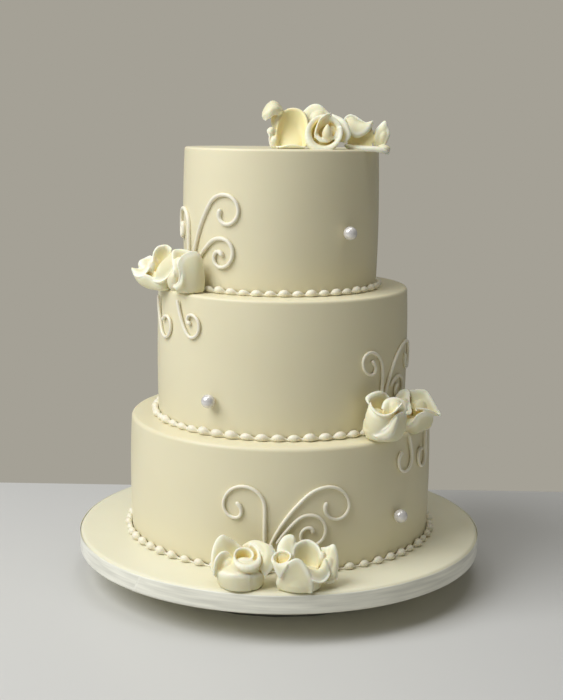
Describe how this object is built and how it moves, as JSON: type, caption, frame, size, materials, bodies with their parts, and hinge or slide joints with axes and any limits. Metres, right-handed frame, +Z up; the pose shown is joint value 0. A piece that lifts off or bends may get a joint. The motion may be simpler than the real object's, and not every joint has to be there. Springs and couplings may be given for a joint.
{
  "type": "tiered wedding cake",
  "caption": "Round tiered wedding cake on an iced board: smooth ivory icing, piped bead borders and scrolls, sugar pearls and sugar roses on the ledges.",
  "frame": {"origin": "centre of the riser's underside, on the surface that the cake stands on", "axes": "+Z up; the cake's decorated front faces -Y and +X is to the right as it is looked at"},
  "size_m": [0.338, 0.338, 0.3927],
  "materials": {
    "fondant": "smooth ivory sugar-paste icing, satin-matt, with faint waves",
    "piped_icing": "white piped icing, smooth with a soft sheen",
    "sugar_paste": "cream sugar-paste petals, thin and slightly translucent",
    "pearl": "pearl-coated sugar ball, soft lustre",
    "satin_ribbon": "white satin ribbon, silky sheen",
    "riser_board": "plain matt card"
  },
  "bodies": {
    "root": {"board_ribbon": "satin_ribbon", "border_bottom": "piped_icing", "border_middle": "piped_icing", "border_top": "piped_icing", "cake_board": "fondant", "pearl_bottom_back": "pearl", "pearl_bottom_front": "pearl", "pearl_middle_back": "pearl", "pearl_middle_front": "pearl", "pearl_top_back": "pearl", "pearl_top_front": "pearl", "riser": "riser_board", "rose_front_left": "sugar_paste", "rose_front_right": "sugar_paste", "rose_left_inner": "sugar_paste", "rose_left_outer": "sugar_paste", "rose_right_inner": "sugar_paste", "rose_right_outer": "sugar_paste", "rose_top_left": "sugar_paste", "rose_top_middle": "sugar_paste", "rose_top_right": "sugar_paste", "scroll_front_curl": "piped_icing", "scroll_front_small": "piped_icing", "scroll_front_tall": "piped_icing", "scroll_left_curl": "piped_icing", "scroll_left_drop_inner": "piped_icing", "scroll_left_drop_outer": "piped_icing", "scroll_left_small": "piped_icing", "scroll_left_tall": "piped_icing", "scroll_right_curl": "piped_icing", "scroll_right_drop_inner": "piped_icing", "scroll_right_drop_outer": "piped_icing", "scroll_right_small": "piped_icing", "scroll_right_tall": "piped_icing", "tier_bottom": "fondant", "tier_middle": "fondant", "tier_top": "fondant"}
  },
  "joints": []
}
